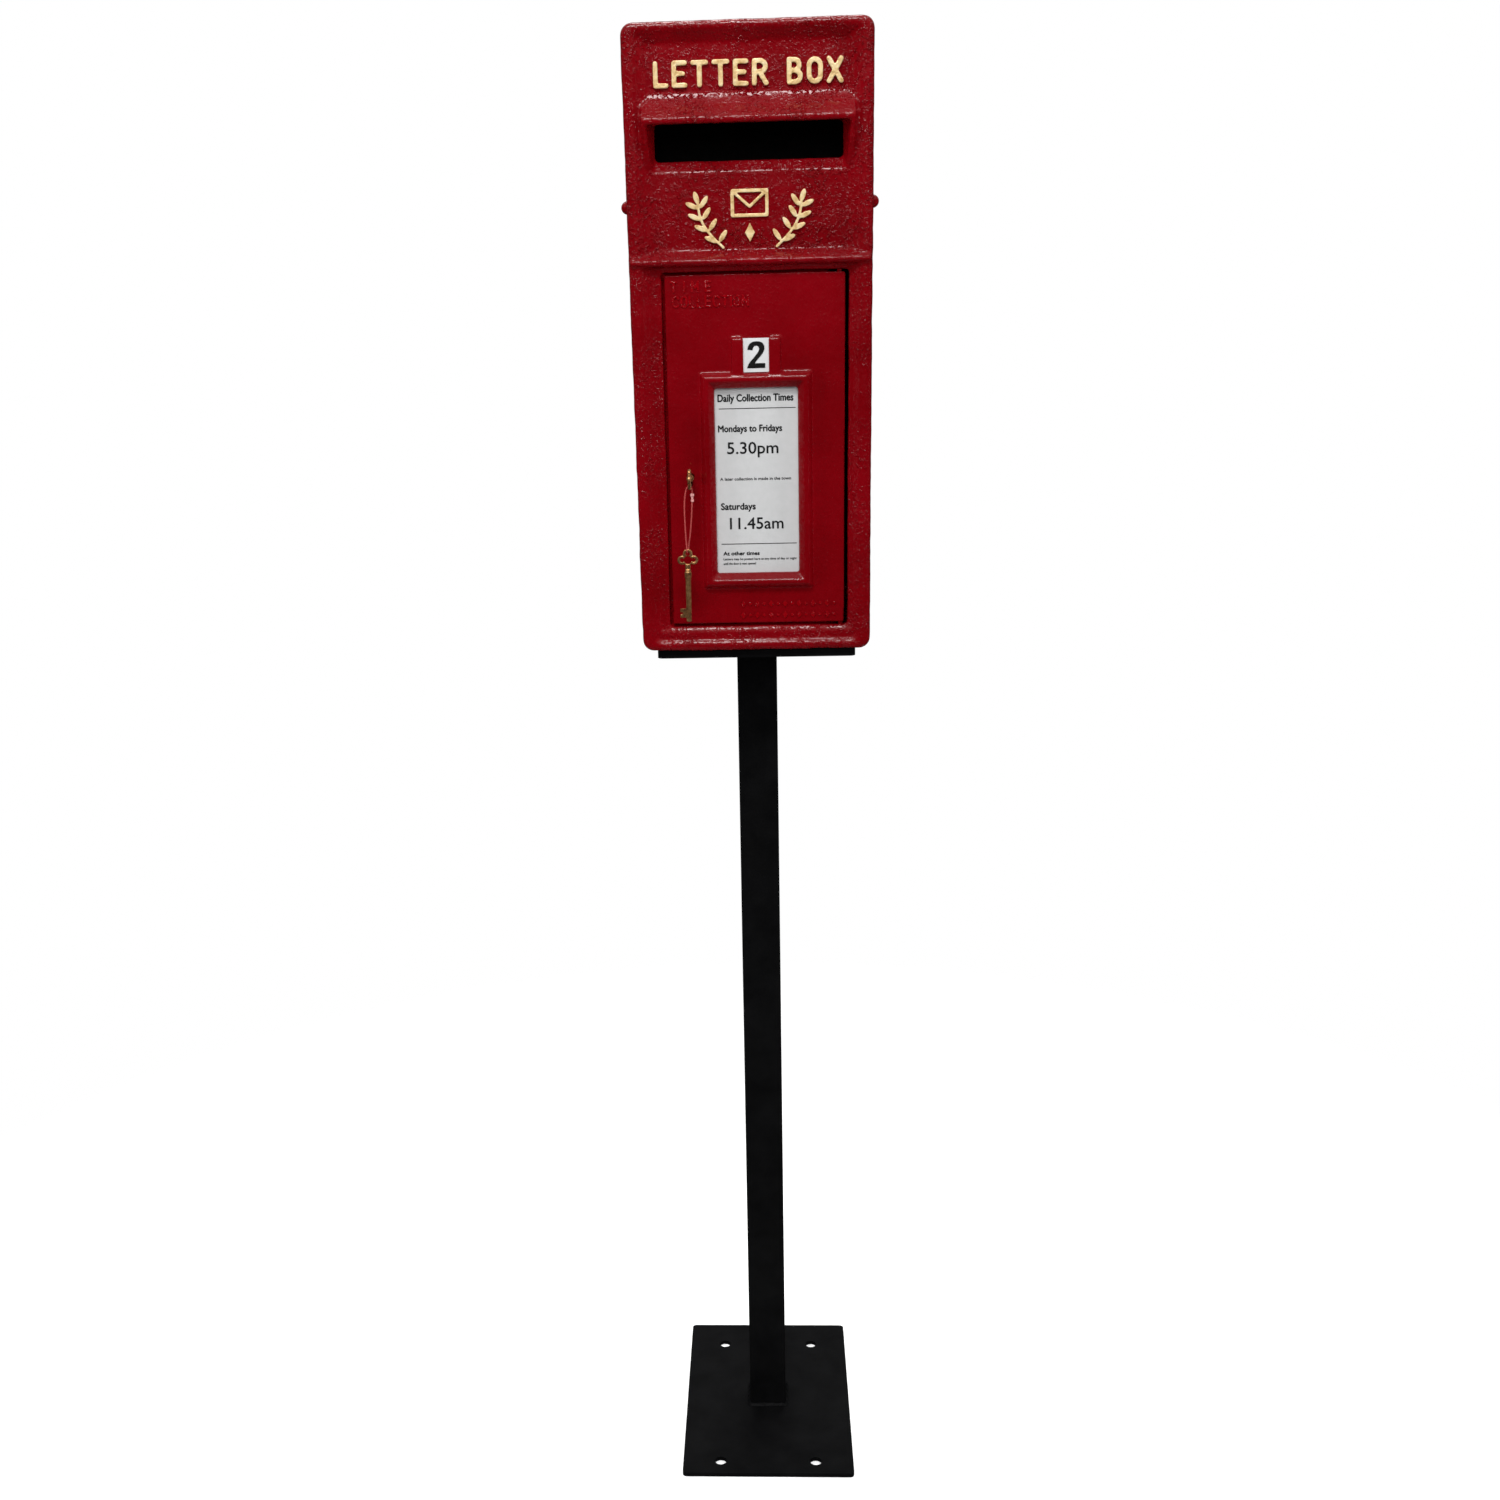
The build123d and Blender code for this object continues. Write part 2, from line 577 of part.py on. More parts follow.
def bow_layer(step, half):
    """One slice of the four-lobed bow, step narrower all round, half thick each way."""
    outer = Circle(5.4 - step)
    outer = outer + Pos(6.0, 0, 0) * Circle(4.8 - step) + Pos(-6.0, 0, 0) * Circle(4.8 - step)
    outer = outer + Pos(0, 6.6, 0) * Circle(5.0 - step) + Pos(0, -8, 0) * Rectangle(5.4 - 2 * step, 9)
    inner = Circle(4.1 + step)
    inner = inner + Pos(6.0, 0, 0) * Circle(2.1 + step) + Pos(-6.0, 0, 0) * Circle(2.1 + step)
    inner = inner + Pos(0, 6.4, 0) * Circle(2.2 + step)
    return extrude(front(0) * (outer - inner), half, both=True)


def make_key():
    """Key in its own frame: bow centre at the origin in the XZ plane, shank down -Z."""
    bow = bow_layer(0.0, 0.9) + bow_layer(0.35, 1.4) + bow_layer(0.85, 1.7)
    key = bow + rod_z(0, 0, -14, -10, 3.0) + rod_z(0, 0, -18.5, -12.5, 3.7)
    key = key + rod_z(0, 0, -20.5, -18.0, 3.1) + rod_z(0, 0, -64.8, -20.0, 2.8)
    bit = block(-9.2, -2.0, -1.4, 1.4, -60.5, -51.0)
    bit = bit - block(-10, -6.4, -2, 2, -56.9, -54.9)
    key = key + bit
    return key - rod_z(0, 0, -66, -48.0, 1.25)


def make_lock_key():
    frame = Plane(origin=(KEY_X, KEY_BOW_Y, KEY_Z), x_dir=(0, 0, 1), z_dir=(0, -1, 0))
    return make_key().moved(Location(frame))


def make_spare_key():
    return make_key().moved(Location((SPARE_X, KEY_BOW_Y, SPARE_Z)))


# ---------------------------------------------------------------- string
Y_S = KEY_BOW_Y
STRING_PTS = [
    (-63.3, Y_S, 1158.5),
    (-63.05, Y_S, 1168.0),
    (-68.55, Y_S, 1168.0),
    (-70.6, Y_S, 1161.0),
    (-71.9, Y_S, 1148.0),
    (-71.5, Y_S, 1130.0),
    (-70.9, Y_S - 0.6, 1114.5),
    (-70.2, Y_S - 2.75, 1107.0),
    (-70.0, Y_S - 2.75, 1099.8),
    (-69.0, Y_S + 2.75, 1099.8),
    (-68.3, Y_S + 2.75, 1107.0),
    (-66.9, Y_S + 0.6, 1114.5),
    (-65.0, Y_S, 1131.0),
    (-63.9, Y_S, 1147.0),
    (-63.4, Y_S + 0.2, 1155.5),
]


def bend_radii(pts):
    out = []
    for i in range(1, len(pts) - 1):
        a = Vector(*pts[i]) - Vector(*pts[i - 1])
        b = Vector(*pts[i + 1]) - Vector(*pts[i])
        turn = math.radians(a.get_angle(b))
        out.append(0.45 * min(a.length, b.length) / math.tan(turn / 2))
    return out


def make_string():
    radii = bend_radii(STRING_PTS)
    print("string bend radii mm:", [round(r, 1) for r in radii])
    path = FilletPolyline(*STRING_PTS, radius=radii)
    start = Plane(origin=path @ 0, z_dir=path % 0)
    tube = sweep(start * Circle(STRING_D / 2), path=path)
    want = math.pi * (STRING_D / 2) ** 2 * path.length
    print("string length mm:", round(path.length, 2), "volume ratio:", round(tube.volume / want, 4))
    return tube


def make_knot():
    top = Pos(-63.35, Y_S, 1159.2) * Sphere(2.1)
    low = Pos(-63.2, Y_S, 1153.4) * Sphere(1.6)
    neck = rod_z(-63.3, Y_S, 1152.6, 1160.0, 1.2)
    return top + low + neck


# ---------------------------------------------------------------- number tablet
def make_tablet():
    return block(TAB_CX - TAB_W / 2, TAB_CX + TAB_W / 2, -106.2, -104.2, TAB_Z0, TAB_Z0 + TAB_H)


# outline of the figure two, as shares of its width and height
TWO = [(0.0, 0.0), (1.0, 0.0), (1.0, 0.18), (0.43, 0.18), (0.52, 0.27), (0.72, 0.42), (0.88, 0.56),
       (0.97, 0.70), (0.96, 0.83), (0.87, 0.93), (0.72, 0.985), (0.52, 1.0), (0.32, 0.98), (0.16, 0.91),
       (0.07, 0.81), (0.03, 0.69), (0.31, 0.665), (0.345, 0.76), (0.42, 0.82), (0.52, 0.838),
       (0.62, 0.81), (0.675, 0.74), (0.66, 0.655), (0.58, 0.56), (0.42, 0.42), (0.20, 0.26), (0.07, 0.13)]


def make_numeral():
    z0 = TAB_Z0 + 4.0
    pts = [(TAB_CX + (u - 0.5) * NUM_W, z0 + v * NUM_H) for u, v in TWO]
    return extrude(quad(-106.2, pts), 0.3)


save(make_base_plate(), "base_plate")
save(make_weld(PLATE_T, 1), "base_weld")
save(make_post(), "post_tube")
save(make_weld(Z_BOT - TOP_PLATE_T, -1), "top_weld")
save(make_top_plate(), "top_plate")
save(make_mount_bolts(), "mount_bolts")
save(make_mount_washers(), "mount_washers")
save(make_body(), "body_casting")
save(make_back_plate(), "back_plate")
save(make_back_screws(), "back_screws")
save(make_side_bolts(), "side_bolts")
save(make_side_nuts(), "side_nuts")
save(make_letter_guard(), "letter_guard")
save(make_top_letters(), "top_lettering")
save(make_emblem(), "emblem_relief")
save(make_hinge_pins(), "hinge_pins")
save(make_door(), "door_casting")
save(make_door_lettering(), "door_relief")
save(make_card(), "notice_card")
save(make_retainer(), "notice_retainer")
save(small_screws(RETAINER_SCREWS, -95.0, -101.5), "retainer_screws")
save(make_lock_case(), "lock_case")
save(small_screws(LOCK_SCREWS, DOOR_Y + DOOR_T + 2, -101.5), "lock_screws")
save(make_lock_bolt(), "lock_bolt")
save(make_lock_key(), "lock_key")
save(make_spare_key(), "spare_key")
save(make_string(), "key_string")
save(make_knot(), "string_knot")
save(make_tablet(), "number_tablet")
save(make_numeral(), "tablet_numeral")
print(len(NODES), "nodes")
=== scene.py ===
import math

import bpy
import numpy as np
from mathutils import Matrix, Vector, noise


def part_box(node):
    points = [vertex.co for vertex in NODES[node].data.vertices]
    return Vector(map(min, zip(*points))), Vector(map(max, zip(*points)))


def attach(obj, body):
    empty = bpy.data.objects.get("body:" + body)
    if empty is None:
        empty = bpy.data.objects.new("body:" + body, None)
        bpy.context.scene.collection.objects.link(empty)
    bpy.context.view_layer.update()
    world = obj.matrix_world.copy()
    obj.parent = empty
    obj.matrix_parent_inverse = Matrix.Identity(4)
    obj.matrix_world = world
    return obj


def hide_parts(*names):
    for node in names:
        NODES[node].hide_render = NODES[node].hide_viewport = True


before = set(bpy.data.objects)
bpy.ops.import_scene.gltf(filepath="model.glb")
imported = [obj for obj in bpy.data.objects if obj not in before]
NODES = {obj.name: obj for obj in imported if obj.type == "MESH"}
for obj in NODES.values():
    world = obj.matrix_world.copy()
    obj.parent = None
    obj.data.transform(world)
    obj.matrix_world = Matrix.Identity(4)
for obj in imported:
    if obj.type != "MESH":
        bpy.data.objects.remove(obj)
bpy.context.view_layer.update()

MM = 0.001


# ------------------------------------------------------------------ materials
def new_mat(name):
    mat = bpy.data.materials.new(name)
    mat.use_nodes = True
    nt = mat.node_tree
    bsdf = nt.nodes["Principled BSDF"]
    return mat, nt, bsdf


def node(nt, kind, **values):
    n = nt.nodes.new(kind)
    for key, value in values.items():
        if key in n.inputs:
            n.inputs[key].default_value = value
        else:
            setattr(n, key, value)
    return n


def coords(nt):
    return node(nt, "ShaderNodeTexCoord").outputs["Object"]


def noise_tex(nt, vec, scale, detail=3.0, rough=0.55, distortion=0.0):
    t = node(nt, "ShaderNodeTexNoise")
    t.inputs["Scale"].default_value = scale
    t.inputs["Detail"].default_value = detail
    t.inputs["Roughness"].default_value = rough
    t.inputs["Distortion"].default_value = distortion
    nt.links.new(vec, t.inputs["Vector"])
    return t.outputs["Fac"]


def ramp(nt, fac, stops):
    r = node(nt, "ShaderNodeValToRGB")
    els = r.color_ramp.elements
    els[0].position, els[0].color = stops[0][0], (*stops[0][1], 1)
    els[1].position, els[1].color = stops[-1][0], (*stops[-1][1], 1)
    for pos, col in stops[1:-1]:
        e = els.new(pos)
        e.color = (*col, 1)
    nt.links.new(fac, r.inputs["Fac"])
    return r.outputs["Color"]


def remap(nt, fac, a, b, lo, hi):
    m = node(nt, "ShaderNodeMapRange")
    m.inputs["From Min"].default_value = a
    m.inputs["From Max"].default_value = b
    m.inputs["To Min"].default_value = lo
    m.inputs["To Max"].default_value = hi
    nt.links.new(fac, m.inputs["Value"])
    return m.outputs["Result"]


def math_node(nt, op, a, b):
    m = node(nt, "ShaderNodeMath", operation=op)
    for i, v in enumerate((a, b)):
        if isinstance(v, (int, float)):
            m.inputs[i].default_value = v
        else:
            nt.links.new(v, m.inputs[i])
    return m.outputs[0]


def bump(nt, bsdf, layers):
    """layers: (height output, distance in metres, strength)"""
    last = None
    for height, distance, strength in layers:
        b = node(nt, "ShaderNodeBump")
        b.inputs["Distance"].default_value = distance
        b.inputs["Strength"].default_value = strength
        nt.links.new(height, b.inputs["Height"])
        if last is not None:
            nt.links.new(last, b.inputs["Normal"])
        last = b.outputs["Normal"]
    nt.links.new(last, bsdf.inputs["Normal"])
    return last


LEDGE_LOW, LEDGE_HIGH = 1.385, 1.405          # z, metres: above the ledge the sand-cast grain is coarser
FRONT_Y, BEHIND_Y = -0.100, -0.075            # y, metres: behind the front the grain is weaker
GRAIN_HEIGHT = 0.0011                         # metres
LUMP_HEIGHT = 0.0010                          # metres


def red_paint(name, grain, grain_up, lump, rough=0.2, painted_highlight_lift=1.0):
    """Deep crimson gloss paint over sand-cast iron.

    grain and grain_up are the strength of the fine grain below and above the ledge, lump that of
    the broad lumps; rough is the lowest roughness; the last argument brightens the red, and above 1 that is
    a painted highlight.
    """
    mat, nt, bsdf = new_mat(name)
    vec = coords(nt)
    tone = noise_tex(nt, vec, 14, 4)
    # the red times the last argument: above 1 this is a painted highlight, lighter than the paint really is
    col = ramp(nt, tone, [(0.25, (0.150 * painted_highlight_lift, 0.0003, 0.0022)),
                          (0.5, (0.185 * painted_highlight_lift, 0.0004, 0.0030)),
                          (0.8, (0.225 * painted_highlight_lift, 0.0008, 0.0045))])
    nt.links.new(col, bsdf.inputs["Base Color"])
    bsdf.inputs["Specular IOR Level"].default_value = 0.12
    bsdf.inputs["Coat Weight"].default_value = 0.45
    bsdf.inputs["Coat Roughness"].default_value = 0.07
    r = noise_tex(nt, vec, 180, 3)
    nt.links.new(remap(nt, r, 0.3, 0.7, rough, rough + 0.14), bsdf.inputs["Roughness"])
    sep = node(nt, "ShaderNodeSeparateXYZ")
    nt.links.new(vec, sep.inputs[0])
    strength = remap(nt, sep.outputs["Z"], LEDGE_LOW, LEDGE_HIGH, grain, grain_up)
    front = remap(nt, sep.outputs["Y"], FRONT_Y, BEHIND_Y, 1.0, 0.25)
    strength = math_node(nt, "MULTIPLY", strength, front)
    patches = remap(nt, noise_tex(nt, vec, 26, 2), 0.42, 0.62, 0.25, 1.0)
    fine = remap(nt, noise_tex(nt, vec, 300, 2.5, 0.6, 0.4), 0.50, 0.72, 0.0, 1.0)
    fine = math_node(nt, "MULTIPLY", math_node(nt, "MULTIPLY", fine, strength), patches)
    broad = noise_tex(nt, vec, 70, 2, 0.5)
    normal = bump(nt, bsdf, [(broad, LUMP_HEIGHT * lump, 1.0), (fine, GRAIN_HEIGHT, 1.0)])
    nt.links.new(normal, bsdf.inputs["Coat Normal"])
    return mat


def satin_black(name):
    mat, nt, bsdf = new_mat(name)
    vec = coords(nt)
    tone = noise_tex(nt, vec, 30, 5)
    col = ramp(nt, tone, [(0.3, (0.0022, 0.0022, 0.0024)), (0.7, (0.0044, 0.0044, 0.0047))])
    nt.links.new(col, bsdf.inputs["Base Color"])
    r = noise_tex(nt, vec, 55, 5)
    nt.links.new(remap(nt, r, 0.25, 0.75, 0.44, 0.62), bsdf.inputs["Roughness"])
    bsdf.inputs["Specular IOR Level"].default_value = 0.07
    fine = noise_tex(nt, vec, 900, 2)
    wave = noise_tex(nt, vec, 26, 2)
    bump(nt, bsdf, [(wave, 0.0006, 0.6), (fine, 0.00012, 0.8)])
    return mat


def gold_paint(name):
    mat, nt, bsdf = new_mat(name)
    vec = coords(nt)
    tone = noise_tex(nt, vec, 160, 4)
    col = ramp(nt, tone, [(0.28, (0.58, 0.35, 0.12)), (0.5, (0.92, 0.68, 0.34)),
                          (0.75, (0.98, 0.84, 0.54))])
    nt.links.new(col, bsdf.inputs["Base Color"])
    bsdf.inputs["Metallic"].default_value = 0.25
    r = noise_tex(nt, vec, 300, 3)
    nt.links.new(remap(nt, r, 0.3, 0.7, 0.32, 0.5), bsdf.inputs["Roughness"])
    lumps = noise_tex(nt, vec, 420, 3)
    bump(nt, bsdf, [(lumps, 0.0007, 0.9)])
    return mat


def brass(name):
    mat, nt, bsdf = new_mat(name)
    vec = coords(nt)
    tone = noise_tex(nt, vec, 210, 5)
    col = ramp(nt, tone, [(0.3, (0.24, 0.10, 0.04)), (0.5, (0.50, 0.25, 0.10)), (0.75, (0.78, 0.46, 0.20))])
    nt.links.new(col, bsdf.inputs["Base Color"])
    bsdf.inputs["Metallic"].default_value = 0.85
    r = noise_tex(nt, vec, 500, 3)
    nt.links.new(remap(nt, r, 0.3, 0.7, 0.30, 0.48), bsdf.inputs["Roughness"])
    pits = noise_tex(nt, vec, 700, 3)
    bump(nt, bsdf, [(pits, 0.0004, 0.7)])
    return mat


def steel(name, dark, light, metallic=0.9, rough=0.35):
    mat, nt, bsdf = new_mat(name)
    vec = coords(nt)
    tone = noise_tex(nt, vec, 120, 5)
    col = ramp(nt, tone, [(0.3, dark), (0.7, light)])
    nt.links.new(col, bsdf.inputs["Base Color"])
    bsdf.inputs["Metallic"].default_value = metallic
    r = noise_tex(nt, vec, 260, 4)
    nt.links.new(remap(nt, r, 0.3, 0.7, rough, rough + 0.15), bsdf.inputs["Roughness"])
    fine = noise_tex(nt, vec, 800, 2)
    bump(nt, bsdf, [(fine, 0.0001, 0.7)])
    return mat


def matte(name, dark, light, rough=0.6, scale=300, height=0.00008):
    mat, nt, bsdf = new_mat(name)
    vec = coords(nt)
    tone = noise_tex(nt, vec, scale, 4)
    col = ramp(nt, tone, [(0.3, dark), (0.7, light)])
    nt.links.new(col, bsdf.inputs["Base Color"])
    bsdf.inputs["Specular IOR Level"].default_value = 0.3
    r = noise_tex(nt, vec, scale * 0.4, 3)
    nt.links.new(remap(nt, r, 0.3, 0.7, rough, min(1.0, rough + 0.15)), bsdf.inputs["Roughness"])
    fine = noise_tex(nt, vec, scale * 4, 2)
    bump(nt, bsdf, [(fine, height, 0.8)])
    return mat


M_CAST = red_paint("red_cast_rough", 0.7, 1.5, 1.0)
# the relief's red is 1.3 times lighter than the door's: a painted highlight on the letter tops, which are
# the same paint as the door
M_RELIEF_PAINTED_HIGHLIGHT = red_paint("red_relief_painted_highlight", 1.2, 1.2, 1.8, 0.12, 1.3)
M_DOOR = red_paint("red_cast_door", 0.16, 0.16, 0.45, 0.22)
M_BLACK = satin_black("stand_black")
M_WELD = satin_black("weld_black")
M_GOLD = gold_paint("gold_paint")
M_BRASS = brass("key_brass")
M_ZINC = steel("zinc_steel", (0.42, 0.42, 0.40), (0.62, 0.62, 0.60))
M_PIN = steel("dark_steel", (0.16, 0.16, 0.16), (0.30, 0.30, 0.30))
M_GUARD = steel("guard_steel", (0.0012, 0.0012, 0.0012), (0.0030, 0.0029, 0.0028), 0.0, 0.75)
M_CARD = matte("notice_paper", (0.60, 0.61, 0.61), (0.64, 0.645, 0.65), 0.55, 120)
M_INK = matte("notice_ink", (0.006, 0.006, 0.007), (0.012, 0.012, 0.013), 0.6)
M_TAB = matte("tablet_white", (0.74, 0.75, 0.76), (0.78, 0.79, 0.80), 0.35, 90)
M_NUM = matte("numeral_black", (0.004, 0.004, 0.004), (0.009, 0.009, 0.009), 0.45)
M_STRING = matte("string_red", (0.30, 0.030, 0.030), (0.52, 0.10, 0.09), 0.8, 900, 0.0002)
M_KNOT = matte("string_knot_pink", (0.50, 0.16, 0.15), (0.80, 0.42, 0.40), 0.8, 700, 0.0003)


def paint(node_name, mat):
    ob = NODES[node_name]
    ob.data.materials.clear()
    ob.data.materials.append(mat)


CAD_LOOKS = {
    "base_plate": M_BLACK, "post_tube": M_BLACK, "top_plate": M_BLACK,
    "base_weld": M_WELD, "top_weld": M_WELD,
    "mount_bolts": M_ZINC, "mount_washers": M_ZINC, "back_screws": M_ZINC, "side_nuts": M_ZINC,
    "retainer_screws": M_ZINC, "lock_screws": M_ZINC, "hinge_pins": M_CAST, "lock_case": M_PIN,
    "lock_bolt": M_BRASS, "back_plate": M_BLACK, "letter_guard": M_GUARD,
    "notice_retainer": M_GUARD, "side_bolts": M_CAST, "body_casting": M_CAST,
    "door_casting": M_DOOR, "door_relief": M_DOOR, "top_lettering": M_GOLD,
    "emblem_relief": M_GOLD, "notice_card": M_CARD, "number_tablet": M_TAB,
    "tablet_numeral": M_NUM, "lock_key": M_BRASS, "spare_key": M_BRASS,
    "key_string": M_STRING, "string_knot": M_KNOT,
}
for name, mat in CAD_LOOKS.items():
    paint(name, mat)


# ------------------------------------------------------------------ mesh helpers
def link(ob):
    bpy.context.scene.collection.objects.link(ob)
    return ob


def evaluated(ob):
    dg = bpy.context.evaluated_depsgraph_get()
    return bpy.data.meshes.new_from_object(ob.evaluated_get(dg))


NOISE_STEP = Vector((7.31, 3.17, 5.93))       # moves each layer to its own part of the noise


def vectors(mesh_data, field):
    """A mesh attribute of three numbers per element as an array of rows."""
    flat = np.empty(len(mesh_data) * 3)
    mesh_data.foreach_get(field, flat)
    return flat.reshape(-1, 3)


def lumps(co, nrm, amp, size, layer):
    """Moves points along their normals by smooth noise: amp metres, size metres."""
    off = NOISE_STEP * layer
    h = np.array([noise.noise(Vector(c) / size + off) for c in co])
    return co + nrm * (h * amp)[:, None]


def cast_copy(node_name, name, voxel, smooth, layers, ratio, mat, body):
    """A softened, slightly lumpy casting made from a CAD node's own shape, kept inside its box."""
    ob = link(bpy.data.objects.new(name + "_work", NODES[node_name].data.copy()))
    m = ob.modifiers.new("remesh", "REMESH")
    m.mode = "VOXEL"
    m.voxel_size = voxel
    m = ob.modifiers.new("smooth", "SMOOTH")
    m.factor = 0.5
    m.iterations = smooth
    m = ob.modifiers.new("decimate", "DECIMATE")
    m.ratio = ratio
    mesh = evaluated(ob)
    bpy.data.objects.remove(ob)
    co = vectors(mesh.vertices, "co")
    nrm = vectors(mesh.vertex_normals, "vector")
    for i, (amp, size) in enumerate(layers):
        co = lumps(co, nrm, amp, size, i + 1)
    lo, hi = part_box(node_name)
    co = np.clip(co, np.array(lo), np.array(hi))
    mesh.vertices.foreach_set("co", co.reshape(-1))
    mesh.materials.clear()
    mesh.materials.append(mat)
    mesh.polygons.foreach_set("use_smooth", [True] * len(mesh.polygons))
    mesh.update()
    new = link(bpy.data.objects.new(name, mesh))
    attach(new, body)
    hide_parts(node_name)
    return new


BODY = "stand_and_box"
CASTINGS = [
    # node, voxel mm, smoothing, lumps (height mm, size mm), share of faces kept, material, body, slot
    ("body_casting", 1.9, 3, ((0.45, 30), (0.30, 9)), 0.30, M_CAST, BODY, "red_cast"),
    ("door_casting", 1.3, 2, ((0.14, 30), (0.06, 10)), 0.40, M_DOOR, "door", "red_cast"),
    ("door_relief", 0.30, 0, ((0.12, 3),), 0.60, M_RELIEF_PAINTED_HIGHLIGHT, "door", "red_cast"),
    ("top_lettering", 0.60, 7, ((0.35, 5), (0.14, 2)), 0.60, M_GOLD, BODY, "gold_paint"),
    ("emblem_relief", 0.50, 4, ((0.22, 4), (0.10, 2)), 0.50, M_GOLD, BODY, "gold_paint"),
    ("base_weld", 0.60, 2, ((0.90, 5), (0.30, 2)), 0.60, M_WELD, BODY, "stand_black"),
    ("top_weld", 0.60, 2, ((0.90, 5), (0.30, 2)), 0.60, M_WELD, BODY, "stand_black"),
    ("lock_key", 0.40, 3, ((0.12, 4),), 0.50, M_BRASS, "turn_key", "brass"),
    ("spare_key", 0.40, 3, ((0.12, 4),), 0.50, M_BRASS, "hanging_key", "brass"),
]
for node_name, voxel, smooth, layers, ratio, mat, ride_on, slot in CASTINGS:
    made = cast_copy(node_name, node_name + "_cast", voxel * MM, smooth,
                     [(amp * MM, size * MM) for amp, size in layers], ratio, mat, ride_on)


# ------------------------------------------------------------------ printed card
CARD_Y = -100.15 * MM                         # just in front of the card's face
CARD_X0, CARD_X1 = -35.0, 44.5                # mm, ends of the ruled lines
RULE_HALF = 0.4                               # mm
INK_STEP = 0.01                               # mm between the copies that thicken a line of words
CAP_SHARE = 0.70                              # capital height of the built-in font, per unit of size
CARD_TEXT = [
    # words, left x mm, centre z mm, letter height mm, width mm, boldness mm
    ("Daily Collection Times", CARD_X0 - 1, 1254.9, 7.2, 78, 0.34),
    ("Mondays to Fridays", CARD_X0 - 1, 1223.8, 6.8, 66, 0.32),
    ("5.30pm", -27.0, 1203.8, 12.0, 53, 0.22),
    ("A later collection is made in the town", CARD_X0, 1171.8, 3.0, 74, 0.12),
    ("Saturdays", -34.5, 1143.3, 6.8, 36, 0.32),
    ("11.45am", -25.5, 1125.4, 12.0, 56, 0.22),
    ("At other times", -33.0, 1093.8, 3.8, 38, 0.26),
    ("Letters may be posted here at any time of day or night", -33.0, 1087.8, 2.3, 77, 0.10),
    ("until the door is next opened", -33.0, 1083.0, 2.3, 34, 0.10),
]
CARD_RULES = [1244.0, 1103.7]


def printed(name, verts, faces):
    """Ink that rides on the door with the card."""
    mesh = bpy.data.meshes.new(name)
    mesh.from_pydata(verts, [], faces)
    mesh.materials.append(M_INK)
    ob = link(bpy.data.objects.new(name, mesh))
    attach(ob, "door")


def printed_line(i, words, x0, zc, height, width, bold):
    """A line of words on the card, fitted to a width and height in mm and thickened by bold mm."""
    cu = bpy.data.curves.new("words", "FONT")
    cu.body = words
    cu.resolution_u = 3
    cu.size = 1.0
    ob = link(bpy.data.objects.new("words", cu))
    mesh = evaluated(ob)
    bpy.data.objects.remove(ob)
    co = vectors(mesh.vertices, "co")
    lo, hi = co.min(0), co.max(0)
    sx = width / (hi[0] - lo[0])
    sz = height / CAP_SHARE
    x = (x0 + (co[:, 0] - lo[0]) * sx) * MM
    z = (zc + (co[:, 1] - CAP_SHARE / 2) * sz) * MM
    copies = [(-bold, 0), (bold, 0), (0, bold), (0, -bold)]
    verts, faces = [], []
    polys = [list(p.vertices) for p in mesh.polygons]
    for k, (dx, dz) in enumerate(copies):
        base = len(verts)
        y = CARD_Y - k * INK_STEP * MM
        verts += [(a + dx * MM, y, b + dz * MM) for a, b in zip(x, z)]
        faces += [[base + v for v in p] for p in polys]
    printed("card_words_%d" % i, verts, faces)


for i, row in enumerate(CARD_TEXT):
    printed_line(i, *row)
for i, z in enumerate(CARD_RULES):
    quad = [(x * MM, CARD_Y, (z + dz) * MM) for x, dz in
            ((CARD_X0, -RULE_HALF), (CARD_X1, -RULE_HALF), (CARD_X1, RULE_HALF), (CARD_X0, RULE_HALF))]
    printed("card_rule_%d" % i, quad, [(0, 1, 2, 3)])


# ------------------------------------------------------------------ string
def cord_curve(name, pts, radius, mat):
    cu = bpy.data.curves.new(name, "CURVE")
    cu.dimensions = "3D"
    sp = cu.splines.new("NURBS")
    sp.points.add(len(pts) - 1)
    for p, q in zip(sp.points, pts):
        p.co = (*q, 1)
    sp.order_u = 3
    sp.use_endpoint_u = True
    sp.resolution_u = 10
    cu.bevel_depth = radius
    cu.bevel_resolution = 3
    cu.use_fill_caps = True
    cu.materials.append(mat)
    return link(bpy.data.objects.new(name, cu))


Y_S = -133.0                                  # mm, the plane the string hangs in
STRING = [(-63.3, Y_S, 1158.5), (-63.05, Y_S, 1168.0), (-68.55, Y_S, 1168.0), (-70.6, Y_S, 1161.0),
          (-71.9, Y_S, 1148.0), (-71.5, Y_S, 1130.0), (-70.9, Y_S - 0.6, 1114.5),
          (-70.2, Y_S - 2.75, 1107.0), (-70.0, Y_S - 2.75, 1099.8), (-69.0, Y_S + 2.75, 1099.8),
          (-68.3, Y_S + 2.75, 1107.0), (-66.9, Y_S + 0.6, 1114.5), (-65.0, Y_S, 1131.0),
          (-63.9, Y_S, 1147.0), (-63.4, Y_S + 0.2, 1155.5)]
string = cord_curve("key_string_loop", [Vector(p) * MM for p in STRING], 0.7 * MM, M_STRING)
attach(string, "string")
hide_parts("key_string")


# ------------------------------------------------------------------ floor, light, camera
FLOOR_R = 1.6                                 # metres
FLOOR_SIDES = 96
FLOOR_Z = -0.0003
FADE_FROM, FADE_TO = 0.45, 1.5                # metres from the middle, opaque to clear


